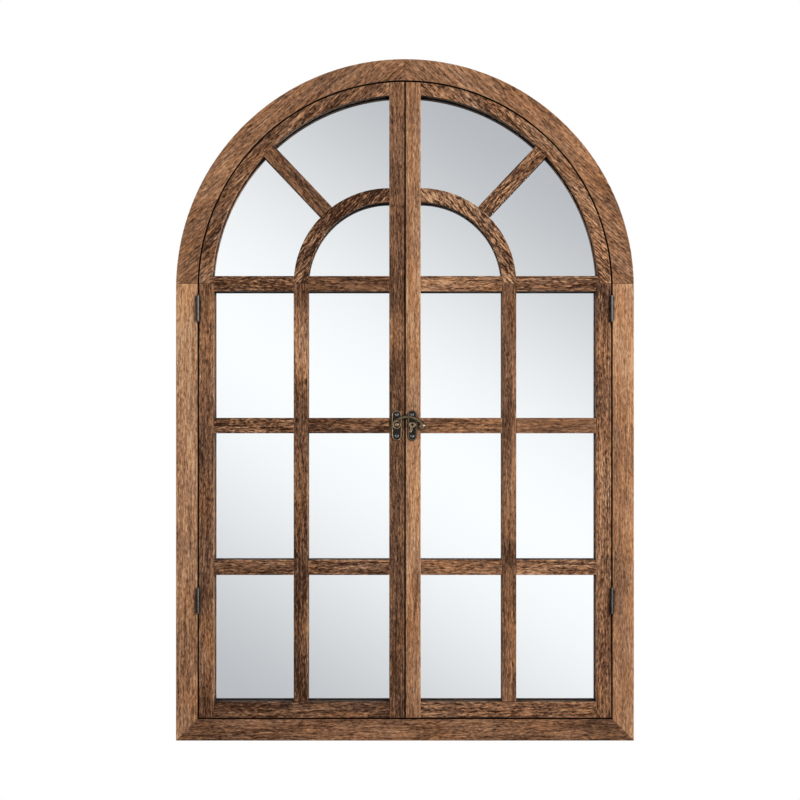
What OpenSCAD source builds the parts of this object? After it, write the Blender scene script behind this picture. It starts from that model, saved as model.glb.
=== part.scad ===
// Arched wall mirror behind a pair of hinged lattice doors.
// X runs along the width, the fronts face -Y and the wall is the plane Y = 0.
// The origin is midway between the two keyholes that hang the frame.
// Heights in the sizes below are measured from the foot of the frame.

/* [Overall] */
// Width of the frame
width = 610; // [570:1:680]
// Height of the frame at the crown of the arch
height = 908; // [860:1:1000]
// Height of the spring joints above the centre of the arch
joint_rise = 5.8; // [3:0.1:8]
// Depth of the frame from its front to the wall
frame_depth = 32; // [31:0.5:42]

/* [Frame] */
// Width of the frame's face
frame_face = 28.5; // [27:0.5:34]
// Reach of the stop lip in behind the doors
lip_reach = 8.5; // [5:0.5:12]
// Thickness of the stop lip
lip_t = 6; // [4:0.5:7]
// Width of the ledge that the back panel is screwed to
ledge = 8; // [7:0.5:9]

/* [Mirror and back panel] */
// Thickness of the mirror glass
mirror_t = 4; // [3:0.5:4.5]
// Thickness of the back panel
panel_t = 3; // [2.5:0.5:3.5]
// Clearance round the mirror and round the back panel
edge_gap = 0.7; // [0.3:0.1:1]
// Screws that hold each side of the back panel to a stile
side_screws = 4; // [2:1:6]
// Distance of the outermost side screws from the joints of the stile
side_screw_inset = 70; // [50:5:100]
// Distance of the foot screws from the middle
foot_screw_x = 130; // [60:5:200]
// Screws that hold each side of the back panel to the arch
arch_screws = 3; // [2:1:4]

/* [Doors] */
// Thickness of the doors
door_t = 15.5; // [14:0.5:16]
// Clearance between a closed door and the stop lip
stop_gap = 0.5; // [0.3:0.1:1]
// Clearance between the doors and the frame
door_gap = 2; // [1.6:0.1:3]
// Clearance between the two meeting stiles
meeting_gap = 2; // [1.6:0.1:3]
// Reach of the left meeting stile past the middle, in behind the right one
lap_x = 3; // [2:0.5:3.5]
// Thickness of the lap behind the right meeting stile
lap_t = 6; // [5:0.5:6.5]
// Clearance in front of the lap
lap_gap = 1; // [0.8:0.1:1.4]
// Width of the stiles
stile_w = 20; // [18:0.5:24]
// Width of the arched rail
arch_rail_w = 17.2; // [16:0.2:18]
// Width of the short rails between the panes
rail_w = 20.3; // [17:0.1:24]
// Width of the bottom rail
bottom_rail_w = 21.5; // [18:0.5:30]
// Width of the upright muntin and of the small arch on it
muntin_w = 19; // [18:0.5:24]
// Distance of the upright muntin from the middle of the mirror
muntin_x = 138.8; // [120:0.2:150]
// Width of the spoke
spoke_w = 19.6; // [17:0.2:24]
// Angle of the spoke above level
spoke_angle = 46.5; // [42:0.5:50]
// Distance at which the middle of the spoke passes above the centre of the small arch
spoke_shift = 5.3; // [0:0.1:7]

/* [Joinery] */
// Thickness of the stub tenons
tenon_t = 5; // [4:0.5:6]
// Width of the stub tenons
tenon_w = 12; // [8:0.5:13]
// Length of the stub tenons
tenon_l = 8; // [5:0.5:8.5]
// Glue clearance all round a tenon or a dowel
glue_gap = 0.1; // [0.05:0.05:0.3]
// Diameter of the dowels
dowel_d = 6; // [4:0.5:6.5]
// Length of the dowels
dowel_l = 24; // [16:1:26]
// Wood left between the door's dowel and its pane
dowel_wall = 11; // [10.5:0.5:12]

/* [Hinges] */
// Length of each hinge
hinge_l = 34; // [28:1:50]
// Distance of the upper hinge below the spring joint
hinge_drop = 33.2; // [33:0.2:60]
// Distance of the lower hinge above the foot of the door
hinge_rise = 156; // [60:1:200]
// Distance of the hinge pin in front of the door
pin_stand = 2.2; // [2.2:0.1:3]
// Diameter of the knuckles
knuckle_d = 4; // [3.4:0.1:4]
// Diameter of the pin
pin_d = 1.6; // [1.2:0.1:1.8]
// Diameter of the heads at the ends of the pin
pin_head_d = 3; // [2.4:0.1:3.6]
// Thickness of the heads at the ends of the pin
pin_head_t = 0.6; // [0.4:0.1:1]
// Running clearance round the pin
pin_fit = 0.05; // [0.02:0.01:0.08]
// Clearance between two knuckles
knuckle_gap = 0.2; // [0.1:0.05:0.4]
// Clearance between the closed leaves
leaf_gap = 0.2; // [0.1:0.05:0.4]
// Reach of a leaf in from the front
leaf_reach = 13; // [10:0.5:14]
// Spacing of the two screws in a leaf
leaf_screw_pitch = 20; // [14:1:22]

/* [Screws] */
// Clearance between a screw and its hole
screw_fit = 0.05; // [0.02:0.01:0.1]
// Shank diameter of the small screws
small_screw_d = 2; // [1.6:0.1:2.2]
// Head diameter of the small screws
small_head_d = 3.6; // [3:0.1:3.8]
// Length of the small screws
small_screw_l = 10; // [8:0.5:12]
// Head height of the small pan-head screws
pan_h = 0.9; // [0.6:0.1:0.9]
// Head diameter of the small pan-head screws
pan_d = 5; // [4.4:0.1:5.4]
// Shank diameter of the back screws
back_screw_d = 3; // [2.5:0.1:3]
// Head diameter of the back screws
back_head_d = 6; // [5:0.1:6.4]
// Length of the back screws
back_screw_l = 12; // [10:0.5:14]

/* [Latch] */
// Width of the latch plate
plate_w = 12.8; // [12:0.2:14]
// Width of the catch plate
catch_w = 11.6; // [11:0.2:13]
// Length of both plates
plate_l = 40; // [38:1:46]
// Thickness of both plates
plate_t = 1; // [0.8:0.1:1.2]
// Width of the raised rim of a plate
rim_w = 1.1; // [0.8:0.1:1.4]
// Height of the raised rim of a plate
rim_h = 0.5; // [0.3:0.1:0.6]
// Distance of the plate screws from the middle of a plate
plate_screw_z = 14.3; // [14:0.1:15]
// Height of the rivet above the middle of its plate
rivet_rise = 0.8; // [0:0.1:1.5]
// Distance of the catch plate from the middle of the mirror
catch_x = 9.7; // [9:0.1:12]
// Diameter of the rivet that the hook turns on
rivet_d = 3; // [2.6:0.1:3.4]
// Diameter of the rivet's head
rivet_head_d = 5.6; // [5:0.1:7]
// Height of the rivet's head
rivet_head_h = 1.2; // [0.8:0.1:1.6]
// Running clearance between the hook and the rivet
rivet_fit = 0.05; // [0.02:0.01:0.1]
// Thickness of the hook
hook_t = 1.6; // [1.4:0.1:2]
// Clearance between the back of the hook and the screw heads
hook_lift = 0.3; // [0.2:0.1:0.6]
// Clearance between the eye of the hook and the head of its rivet
eye_gap = 0.1; // [0.05:0.05:0.2]
// Width of the hook's arm
hook_w = 3.7; // [3:0.1:4]
// Chamfer along the front edges of the arm and round the finger tab
hook_ease = 0.7; // [0.3:0.1:0.9]
// Radius of the middle of the hook's arm
hook_r = 24; // [23.5:0.1:25]
// Distance from the rivet across to the centre of the arm
hook_centre_x = 14.2; // [13.8:0.1:14.6]
// Distance from the rivet down to the centre of the arm
hook_centre_drop = 13.4; // [13:0.1:13.8]
// Radius of the hook's eye
eye_r = 5.3; // [4.8:0.1:5.6]
// Width of the raised rim round the eye
eye_rim_w = 0.9; // [0.6:0.1:1.2]
// Height of the raised rim round the eye
eye_rim_h = 0.4; // [0.2:0.1:0.6]
// Distance from the rivet across to the middle of the finger tab
tab_x = 33.6; // [33:0.1:35]
// Distance from the rivet down to the middle of the finger tab
tab_drop = 2.7; // [2.2:0.1:3.2]
// Radius of the finger tab
tab_r = 3.8; // [3.4:0.1:4.2]
// Radius of the bead on the finger tab
bead_r = 1.5; // [1:0.1:1.7]
// Distance of the bead from the middle of the finger tab
bead_out = 3.4; // [3:0.1:3.6]
// Direction of the bead above level
bead_angle = 31; // [0:1:60]
// Width of the catch post
post_w = 9; // [8:0.1:9.6]
// Height of the catch post's outline
post_h = 6.6; // [5:0.1:6.8]
// Distance that the catch post reaches past the back of the hook
post_bite = 2.2; // [1.6:0.1:2.4]
// Diameter of the hole in the end of the catch post
post_hole_d = 3.6; // [2.8:0.1:4]
// Depth of the hole in the end of the catch post
post_hole_l = 2.4; // [1.6:0.1:2.8]
// Diameter of the post's tail in its plate
post_tail_d = 3; // [2.4:0.1:3.6]
// Length of the tongue below the catch post
tongue_l = 7; // [5:0.2:7.4]
// Width of the tongue
tongue_w = 3.2; // [2.4:0.1:3.4]
// Thickness of the tongue
tongue_t = 0.8; // [0.5:0.1:0.9]
// Width of the slot in the tongue
tongue_slot_w = 1.1; // [0.8:0.1:1.4]
// Lean of the tongue
tongue_lean = 14; // [0:1:20]

/* [Hangers] */
// Distance of the keyholes below the spring joint
hanger_drop = 50; // [45:1:120]
// Width of the keyhole plates
hanger_w = 16; // [14:0.5:17]
// Length of the keyhole plates
hanger_l = 48; // [46:1:60]
// Thickness of the keyhole plates
hanger_t = 1.6; // [1.2:0.1:2]
// Clearance round a keyhole plate in its recess
hanger_fit = 0.2; // [0.1:0.05:0.4]
// Diameter of the round mouth of a keyhole
keyhole_d = 9; // [8:0.1:10]
// Width of the slot of a keyhole
slot_w = 5; // [4.6:0.1:5.6]
// Length of the slot above the middle of the mouth
slot_l = 11; // [9:0.5:12]
// Width of the pocket behind a keyhole
pocket_w = 12; // [11:0.5:13]
// Depth of the pocket behind a keyhole plate
pocket_depth = 6; // [5:0.5:7]
// Distance of a hanger screw from the end of its plate
hanger_screw_inset = 6; // [5.5:0.5:8]

/* [Hidden] */
$fn = 96;
// How far a cut runs on past the face it opens, and a joined piece past the face it stands on
past = 1;
// The cross in a screw head: the width of its arms, its depth, and the share of the head it spans
recess_w = 0.6;
recess_depth = 0.5;
recess_share = 0.6;

arch_r = width / 2;
arch_z = height - arch_r;
spring_z = arch_z + joint_rise;
hanger_z = spring_z - hanger_drop;
opening_r = arch_r - frame_face;
lip_r = opening_r - lip_reach;
lip_z = frame_face + lip_reach;
face_mid = arch_r - frame_face / 2;

front_y = -frame_depth;
door_back_y = front_y + door_t;
door_mid_y = front_y + door_t / 2;
lip_y = door_back_y + stop_gap;
mirror_y = lip_y + lip_t;
panel_y = mirror_y + mirror_t;
dowel_y = (front_y + panel_y) / 2;

door_r = opening_r - door_gap;
pane_r = door_r - stile_w;
arch_pane_r = door_r - arch_rail_w;
door_foot = frame_face + door_gap;
pane_foot = door_foot + bottom_rail_w;
meet_x = meeting_gap / 2;
meet_in = meet_x + stile_w;
pane_h = (spring_z - rail_w / 2 - pane_foot - 2 * rail_w) / 3;
rail_z = [for (i = [1 : 3]) pane_foot + i * pane_h + (i - 0.5) * rail_w];
muntin_in = muntin_x - muntin_w / 2;
muntin_out = muntin_x + muntin_w / 2;
small_r_out = muntin_out - meet_in;
small_r_in = muntin_in - meet_in;
small_r_mid = (small_r_out + small_r_in) / 2;
small_centre = [meet_in, spring_z];
arch_rail_end_z = arch_z + sqrt(pow(arch_pane_r + arch_rail_w / 2, 2) - pow(meet_in, 2));
door_dowel_x = pane_r + dowel_wall + dowel_d / 2;

// The spoke's line, from its root beside the centre of the small arch, and how far along it the spoke
// leaves the small arch and meets the arched rail
spoke_dir = [cos(spoke_angle), sin(spoke_angle)];
spoke_root = small_centre + spoke_shift * [-spoke_dir.y, spoke_dir.x];
spoke_start = sqrt(pow(small_r_out, 2) - pow(spoke_shift, 2));
spoke_along = spoke_root * spoke_dir - arch_z * spoke_dir.y;
spoke_off = norm(spoke_root - [0, arch_z]);
spoke_end = -spoke_along + sqrt(pow(spoke_along, 2) - pow(spoke_off, 2) + pow(arch_pane_r, 2));

leaf_t = (door_gap - leaf_gap) / 2;
knuckles = 5;
knuckle_l = (hinge_l - (knuckles - 1) * knuckle_gap) / knuckles;
hinge_x = opening_r - door_gap / 2;
hinge_y = front_y - pin_stand;
upper_hinge_z = spring_z - hinge_drop;
lower_hinge_z = door_foot + hinge_rise;

latch_x = meet_x + stile_w / 2;
latch_z = rail_z[1];
rivet_z = latch_z + rivet_rise;
plate_y = front_y - plate_t;
hook_back_y = plate_y - pan_h - hook_lift;
hook_front_y = hook_back_y - hook_t;
post_y = hook_back_y - post_bite;

ledge_x = opening_r + ledge / 2;
ledge_z = frame_face - ledge / 2;
side_screw_pitch = (spring_z - 2 * side_screw_inset) / (side_screws - 1);
hanger_x = opening_r + (ledge + frame_face) / 2;
hanger_mid = (slot_l + (slot_w - keyhole_d) / 2) / 2;

wood = [0.48, 0.33, 0.21];
dark_wood = [0.38, 0.25, 0.16];
board = [0.62, 0.50, 0.36];
silver = [0.86, 0.89, 0.92];
bronze = [0.25, 0.20, 0.14];
brass = [0.66, 0.50, 0.28];
zinc = [0.70, 0.71, 0.72];

leaf_names = ["left_upper", "left_lower", "right_upper", "right_lower"];
door_names = ["hinge_stile", "meeting_stile", "arch_rail", "bottom_rail", "upright_muntin",
    "lower_outer_rail", "lower_inner_rail", "middle_outer_rail", "middle_inner_rail",
    "spring_outer_rail", "spring_inner_rail", "small_arch", "spoke", "door_dowel"];

// Places: pieces are drawn from the foot of the frame, and on the right of the middle
module at_right() translate([0, 0, -hanger_z]) children();
module at_left() at_right() mirror([1, 0, 0]) children();
module at_both() {
    at_left() children();
    at_right() children();
}
module at_upper_hinge() translate([hinge_x, hinge_y, upper_hinge_z]) children();
module at_lower_hinge() translate([hinge_x, hinge_y, lower_hinge_z]) children();
module at_hinges() {
    at_upper_hinge() children();
    at_lower_hinge() children();
}

// Outlines are drawn in width and height, and a slab gives them depth from y0 back to y1
module slab(y0, y1) rotate([90, 0, 0]) translate([0, 0, -y1]) linear_extrude(y1 - y0) children();
module band(x0, z0, x1, z1) translate([x0, z0]) square([x1 - x0, z1 - z0]);
module arch_area(r, foot) {
    translate([0, arch_z]) circle(r);
    band(-r, foot, r, arch_z);
}
module oblong(w, l) {
    for (s = [-1, 1]) translate([0, s * (l - w) / 2]) circle(w / 2);
    square([w, l - w], center = true);
}
// A rod that runs back into the wood from depth y at a point of the outline
module rod_back(at, y, d, l) translate([at.x, y, at.y]) rotate([-90, 0, 0]) cylinder(d = d, h = l);

// Screws stand on z = 0 with the head's face there, or above it, and the shank going down
module cross_recess(d, top) {
    for (a = [0, 90])
        rotate(a) translate([0, 0, top])
            cube([recess_share * d, recess_w, 2 * recess_depth], center = true);
}
module flat_screw(head_d, head_h, d, l) {
    difference() {
        union() {
            translate([0, 0, -head_h]) cylinder(d1 = d, d2 = head_d, h = head_h);
            translate([0, 0, -l]) cylinder(d = d, h = l - head_h);
        }
        cross_recess(head_d, 0);
    }
}
module flat_screw_cut(head_d, head_h, d, l) {
    translate([0, 0, -head_h])
        cylinder(d1 = d + 2 * screw_fit, d2 = head_d + 2 * screw_fit, h = head_h);
    translate([0, 0, -l - screw_fit]) cylinder(d = d + 2 * screw_fit, h = l + screw_fit);
}
module pan_screw(head_d, head_h, d, l) {
    difference() {
        union() {
            cylinder(d = head_d, h = head_h / 2);
            translate([0, 0, head_h / 2]) cylinder(d1 = head_d, d2 = 0.7 * head_d, h = head_h / 2);
            translate([0, 0, -l]) cylinder(d = d, h = l);
        }
        cross_recess(head_d, head_h);
    }
}
module screw_hole(d, l) translate([0, 0, -l - screw_fit]) cylinder(d = d + 2 * screw_fit, h = l + screw_fit + past);

// Stub tenons point away from the end of their piece, and the mortise is the same grown by the glue gap
module tenon_area(at, angle, grow)
    translate(at) rotate(angle)
        translate([-past, -tenon_w / 2 - grow])
            square([past + tenon_l + grow, tenon_w + 2 * grow]);
module tenon(at, angle)
    slab(door_mid_y - tenon_t / 2, door_mid_y + tenon_t / 2) tenon_area(at, angle, 0);
module mortise(at, angle)
    slab(door_mid_y - tenon_t / 2 - glue_gap, door_mid_y + tenon_t / 2 + glue_gap)
        tenon_area(at, angle, glue_gap);

// Frame
module at_frame_dowels() {
    translate([0, dowel_y, arch_z + face_mid]) rotate([0, 90, 0]) children();
    for (s = [-1, 1]) {
        translate([s * face_mid, dowel_y, spring_z]) children();
        translate([s * face_mid, dowel_y, frame_face / 2]) rotate([0, s * 45, 0]) children();
    }
}
module dowel() cylinder(d = dowel_d, h = dowel_l, center = true);
module dowel_hole() cylinder(d = dowel_d + 2 * glue_gap, h = dowel_l + 2 * glue_gap, center = true);

module at_back_screws() {
    for (s = [-1, 1]) {
        for (i = [0 : side_screws - 1])
            translate([s * ledge_x, 0, side_screw_inset + i * side_screw_pitch]) children();
        for (i = [0 : arch_screws - 1]) {
            a = 90 * (i + 0.5) / arch_screws;
            translate([s * ledge_x * cos(a), 0, arch_z + ledge_x * sin(a)]) children();
        }
        translate([s * foot_screw_x, 0, ledge_z]) children();
    }
}
module back_screw_holes()
    at_back_screws() translate([0, panel_y + panel_t, 0]) rotate([-90, 0, 0])
        screw_hole(back_screw_d, back_screw_l);

module frame_board() {
    difference() {
        slab(front_y, 0) intersection() {
            arch_area(arch_r, 0);
            children();
        }
        slab(front_y - past, past) arch_area(lip_r, lip_z);
        slab(front_y - past, lip_y) arch_area(opening_r, frame_face);
        slab(mirror_y, past) arch_area(opening_r, frame_face);
        slab(panel_y, past) arch_area(opening_r + ledge, frame_face - ledge);
        at_frame_dowels() dowel_hole();
        back_screw_holes();
    }
}
module frame_arch() color(wood) frame_board() band(0, spring_z, arch_r, height);
module frame_stile() {
    color(wood) difference() {
        frame_board() polygon([[arch_r, 0], [arch_r, spring_z], [lip_r, spring_z], [lip_r, lip_z]]);
        at_hinges() leaf_screw_holes();
        hanger_recess();
    }
}
module frame_bottom_rail()
    color(dark_wood) frame_board()
        polygon([[-arch_r, 0], [arch_r, 0], [lip_r, lip_z], [-lip_r, lip_z]]);
module frame_dowels() color(board) at_frame_dowels() dowel();

module mirror_glass()
    color(silver) slab(mirror_y, panel_y) arch_area(opening_r - edge_gap, frame_face + edge_gap);
module back_panel() {
    color(board) difference() {
        slab(panel_y, panel_y + panel_t)
            arch_area(opening_r + ledge - edge_gap, frame_face - ledge + edge_gap);
        back_screw_holes();
    }
}
module back_panel_screws()
    color(zinc) at_back_screws() translate([0, panel_y + panel_t, 0]) rotate([-90, 0, 0])
        pan_screw(back_head_d, panel_t / 2, back_screw_d, back_screw_l);

// Hangers
module at_keyhole() translate([hanger_x, 0, hanger_z]) children();
module at_hanger_screws()
    for (s = [-1, 1])
        translate([0, 0, hanger_mid + s * (hanger_l / 2 - hanger_screw_inset)])
            rotate([-90, 0, 0]) children();
module keyhole_area(w_mouth, w_slot) {
    circle(d = w_mouth);
    translate([0, slot_l / 2]) oblong(w_slot, slot_l + w_slot);
}
module hanger_recess() {
    at_keyhole() {
        slab(-hanger_t, past) translate([0, hanger_mid])
            oblong(hanger_w + 2 * hanger_fit, hanger_l + 2 * hanger_fit);
        slab(-hanger_t - pocket_depth, past) keyhole_area(pocket_w, pocket_w);
        at_hanger_screws() flat_screw_cut(back_head_d, hanger_t, back_screw_d, back_screw_l);
    }
}
module keyhole_plate() {
    color(zinc) at_keyhole() difference() {
        slab(-hanger_t, 0) translate([0, hanger_mid]) oblong(hanger_w, hanger_l);
        slab(-hanger_t - past, past) keyhole_area(keyhole_d, slot_w);
        at_hanger_screws() flat_screw_cut(back_head_d, hanger_t, back_screw_d, back_screw_l);
    }
}
module keyhole_plate_screws()
    color(zinc) at_keyhole() at_hanger_screws()
        flat_screw(back_head_d, hanger_t, back_screw_d, back_screw_l);

// Doors
module door_slab() slab(front_y, door_back_y) children();
module door_ring(inner_r) {
    difference() {
        arch_area(door_r, door_foot);
        arch_area(inner_r, door_foot - past);
    }
}
module muntin_and_arch_area() {
    band(muntin_in, pane_foot, muntin_out, spring_z);
    small_ring();
}
module small_ring() {
    intersection() {
        translate(small_centre) difference() {
            circle(small_r_out);
            circle(small_r_in);
        }
        band(meet_in, spring_z, muntin_out, spring_z + small_r_out);
    }
}
module door_dowel() color(board) translate([door_dowel_x, door_mid_y, spring_z]) dowel();
module door_dowel_hole() translate([door_dowel_x, door_mid_y, spring_z]) dowel_hole();

module hinge_stile() {
    color(dark_wood) difference() {
        door_slab() intersection() {
            door_ring(pane_r);
            band(0, door_foot, door_r, spring_z);
        }
        mortise([pane_r, door_foot + bottom_rail_w / 2], 0);
        for (z = rail_z) mortise([pane_r, z], 0);
        door_dowel_hole();
        at_hinges() mirror([1, 0, 0]) leaf_screw_holes();
    }
}
module arch_rail() {
    color(wood) difference() {
        union() {
            door_slab() intersection() {
                door_ring(arch_pane_r);
                band(meet_in, spring_z, door_r, height);
            }
            tenon([meet_in, arch_rail_end_z], 180);
        }
        mortise([pane_r, spring_z], 0);
        mortise(spoke_root + spoke_end * spoke_dir, spoke_angle);
        door_dowel_hole();
    }
}
module meeting_stile_area(x)
    intersection() {
        arch_area(door_r, door_foot);
        band(x, door_foot, meet_in, height);
    }
module meeting_stile(x) {
    color(wood) difference() {
        union() {
            door_slab() meeting_stile_area(meet_x);
            children();
        }
        mortise([meet_in, door_foot + bottom_rail_w / 2], 180);
        for (z = rail_z) mortise([meet_in, z], 180);
        mortise([meet_in, spring_z + small_r_mid], 180);
        mortise([meet_in, arch_rail_end_z], 180);
        at_plate_screws(x) screw_hole(small_screw_d, small_screw_l);
    }
}
module left_meeting_stile()
    meeting_stile(latch_x) slab(door_back_y - lap_t, door_back_y) meeting_stile_area(-lap_x);
module right_meeting_stile()
    difference() {
        meeting_stile(catch_x);
        slab(door_back_y - lap_t - lap_gap, door_back_y + past)
            band(0, 0, lap_x + meeting_gap, height);
    }
module bottom_rail() {
    color(dark_wood) difference() {
        union() {
            door_slab() band(meet_in, door_foot, pane_r, pane_foot);
            tenon([meet_in, door_foot + bottom_rail_w / 2], 180);
            tenon([pane_r, door_foot + bottom_rail_w / 2], 0);
        }
        mortise([muntin_x, pane_foot], -90);
    }
}
module upright_muntin() {
    color(wood) difference() {
        union() {
            door_slab() band(muntin_in, pane_foot, muntin_out, spring_z);
            tenon([muntin_x, pane_foot], -90);
        }
        for (z = rail_z) {
            mortise([muntin_out, z], 180);
            mortise([muntin_in, z], 0);
        }
    }
}
module outer_rail(z) {
    color(dark_wood) {
        door_slab() difference() {
            intersection() {
                band(muntin_x, z - rail_w / 2, door_r, z + rail_w / 2);
                union() {
                    arch_area(pane_r, door_foot);
                    intersection() {
                        arch_area(arch_pane_r, door_foot);
                        band(0, spring_z, door_r, height);
                    }
                }
            }
            muntin_and_arch_area();
        }
        tenon([muntin_out, z], 180);
        tenon([pane_r, z], 0);
    }
}
module inner_rail(z) {
    color(wood) {
        door_slab() difference() {
            band(meet_in, z - rail_w / 2, muntin_x, z + rail_w / 2);
            muntin_and_arch_area();
        }
        tenon([meet_in, z], 180);
        tenon([muntin_in, z], 0);
    }
}
module small_arch() {
    color(wood) difference() {
        union() {
            door_slab() small_ring();
            tenon([meet_in, spring_z + small_r_mid], 180);
        }
        mortise([muntin_out, spring_z], 180);
        mortise([muntin_in, spring_z], 0);
        mortise(spoke_root + spoke_start * spoke_dir, spoke_angle + 180);
    }
}
module spoke() {
    color(wood) {
        door_slab() difference() {
            intersection() {
                translate(spoke_root) rotate(spoke_angle)
                    translate([0, -spoke_w / 2]) square([pane_r, spoke_w]);
                translate([0, arch_z]) circle(arch_pane_r);
            }
            translate(small_centre) circle(small_r_out);
        }
        tenon(spoke_root + spoke_start * spoke_dir, spoke_angle + 180);
        tenon(spoke_root + spoke_end * spoke_dir, spoke_angle);
    }
}

// Hinges: each part is drawn about its own pin, with the frame on the right
module knuckle_at(i) translate([0, 0, -hinge_l / 2 + i * (knuckle_l + knuckle_gap)]) children();
module leaf_screw_place()
    for (s = [-1, 1])
        translate([leaf_gap / 2, pin_stand + leaf_reach / 2, s * leaf_screw_pitch / 2])
            rotate([0, -90, 0]) children();
module leaf_screw_holes()
    leaf_screw_place() flat_screw_cut(small_head_d, leaf_t, small_screw_d, small_screw_l);
module leaf_screws()
    color(bronze) leaf_screw_place() flat_screw(small_head_d, leaf_t, small_screw_d, small_screw_l);
module leaf(own) {
    color(bronze) difference() {
        union() {
            translate([leaf_gap / 2, pin_stand, -hinge_l / 2]) cube([leaf_t, leaf_reach, hinge_l]);
            for (i = own) knuckle_at(i) {
                cylinder(d = knuckle_d, h = knuckle_l);
                translate([leaf_gap / 2, 0, 0]) cube([leaf_t, pin_stand + past, knuckle_l]);
            }
        }
        cylinder(d = pin_d + 2 * pin_fit, h = hinge_l + 2 * past, center = true);
        leaf_screw_holes();
    }
}
module frame_leaf() leaf([0, 2, 4]);
module door_leaf() mirror([1, 0, 0]) leaf([1, 3]);
module hinge_pin() {
    color(bronze) {
        cylinder(d = pin_d, h = hinge_l, center = true);
        for (s = [0, 1]) mirror([0, 0, s])
            translate([0, 0, hinge_l / 2]) cylinder(d = pin_head_d, h = pin_head_t);
    }
}

// Latch: the plate and its hook are on the left door, the catch is on the right one
module at_plate_screws(x)
    for (s = [-1, 1])
        translate([x, plate_y, latch_z + s * plate_screw_z]) rotate([90, 0, 0]) children();
module rimmed_plate(x, w, hole_z, hole_d) {
    color(bronze) difference() {
        union() {
            slab(plate_y, front_y) translate([x, latch_z]) oblong(w, plate_l);
            slab(plate_y - rim_h, front_y) translate([x, latch_z]) difference() {
                oblong(w, plate_l);
                oblong(w - 2 * rim_w, plate_l - 2 * rim_w);
            }
        }
        at_plate_screws(x) screw_hole(small_screw_d, small_screw_l);
        rod_back([x, hole_z], plate_y - past, hole_d + 2 * screw_fit, plate_t + 2 * past);
    }
}
module plate_screws(x)
    color(bronze) at_plate_screws(x) pan_screw(pan_d, pan_h, small_screw_d, small_screw_l);
module latch_plate() rimmed_plate(-latch_x, plate_w, rivet_z, rivet_d);
module latch_rivet() {
    head_y = hook_front_y - eye_gap;
    dome_r = (pow(rivet_head_d / 2, 2) + pow(rivet_head_h, 2)) / (2 * rivet_head_h);
    color(brass) {
        rod_back([-latch_x, rivet_z], head_y - past / 2, rivet_d, front_y - head_y + past / 2);
        rod_back([-latch_x, rivet_z], hook_back_y + eye_gap, 2 * rivet_d, plate_y - hook_back_y - eye_gap);
        intersection() {
            translate([-latch_x, head_y - rivet_head_h + dome_r, rivet_z]) sphere(dome_r);
            rod_back([-latch_x, rivet_z], head_y - rivet_head_h, rivet_head_d, rivet_head_h);
        }
    }
}
module latch_hook() {
    arm_in = atan2(tab_drop - hook_centre_drop, tab_x - hook_centre_x);
    arm_out = atan2(hook_centre_drop, -hook_centre_x);
    arm = [[0, 0], [hook_w, 0], [hook_w, hook_t - hook_ease], [hook_w - hook_ease, hook_t],
        [hook_ease, hook_t], [0, hook_t - hook_ease]];
    color(bronze) translate([-latch_x, 0, rivet_z]) difference() {
        union() {
            slab(hook_front_y, hook_back_y) circle(eye_r);
            slab(hook_front_y - eye_rim_h, hook_back_y) difference() {
                circle(eye_r);
                circle(eye_r - eye_rim_w);
            }
            translate([hook_centre_x, hook_back_y, -hook_centre_drop]) rotate([90, 0, 0])
                rotate(-arm_in) rotate_extrude(angle = arm_out + arm_in)
                    translate([hook_r - hook_w / 2, 0]) polygon(arm);
            translate([tab_x, hook_back_y, -tab_drop]) {
                rotate([90, 0, 0]) cylinder(r = tab_r, h = hook_t - hook_ease);
                translate([0, hook_ease - hook_t, 0]) rotate([90, 0, 0])
                    cylinder(r1 = tab_r, r2 = tab_r - hook_ease, h = hook_ease);
                rotate([0, -bead_angle, 0]) translate([bead_out, bead_r / 3 - hook_t, 0]) sphere(bead_r);
            }
        }
        rod_back([0, 0], hook_front_y - past, rivet_d + 2 * rivet_fit, hook_t + 2 * past);
    }
}
module catch_plate() rimmed_plate(catch_x, catch_w, rivet_z, post_tail_d);
module catch_post() {
    tongue_end = post_h / 2 + tongue_l;
    color(brass) translate([catch_x, 0, rivet_z]) difference() {
        union() {
            slab(post_y, plate_y) rotate(90) oblong(post_h, post_w);
            rod_back([0, 0], plate_y - past, post_tail_d, plate_t + past);
            rotate([0, tongue_lean, 0]) slab(plate_y - tongue_t, plate_y) difference() {
                translate([0, -tongue_end / 2]) oblong(tongue_w, tongue_end);
                translate([0, tongue_l / 2 - tongue_end]) oblong(tongue_slot_w, tongue_l / 2);
            }
        }
        rod_back([0, 0], post_y - past, post_hole_d, post_hole_l + past);
    }
}

at_left() frame_arch();  // frame_arch_left
at_right() frame_arch();  // frame_arch_right
at_left() frame_stile();  // frame_stile_left
at_right() frame_stile();  // frame_stile_right
at_right() frame_bottom_rail();
at_right() frame_dowels();
at_right() mirror_glass();
at_right() back_panel();
at_right() back_panel_screws();
at_left() keyhole_plate();  // keyhole_plate_left
at_right() keyhole_plate();  // keyhole_plate_right
at_both() keyhole_plate_screws();

at_left() hinge_stile();  // left_hinge_stile
at_left() left_meeting_stile();
at_left() arch_rail();  // left_arch_rail
at_left() bottom_rail();  // left_bottom_rail
at_left() upright_muntin();  // left_upright_muntin
at_left() outer_rail(rail_z[0]);  // left_lower_outer_rail
at_left() inner_rail(rail_z[0]);  // left_lower_inner_rail
at_left() outer_rail(rail_z[1]);  // left_middle_outer_rail
at_left() inner_rail(rail_z[1]);  // left_middle_inner_rail
at_left() outer_rail(rail_z[2]);  // left_spring_outer_rail
at_left() inner_rail(rail_z[2]);  // left_spring_inner_rail
at_left() small_arch();  // left_small_arch
at_left() spoke();  // left_spoke
at_left() door_dowel();  // left_door_dowel

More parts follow.
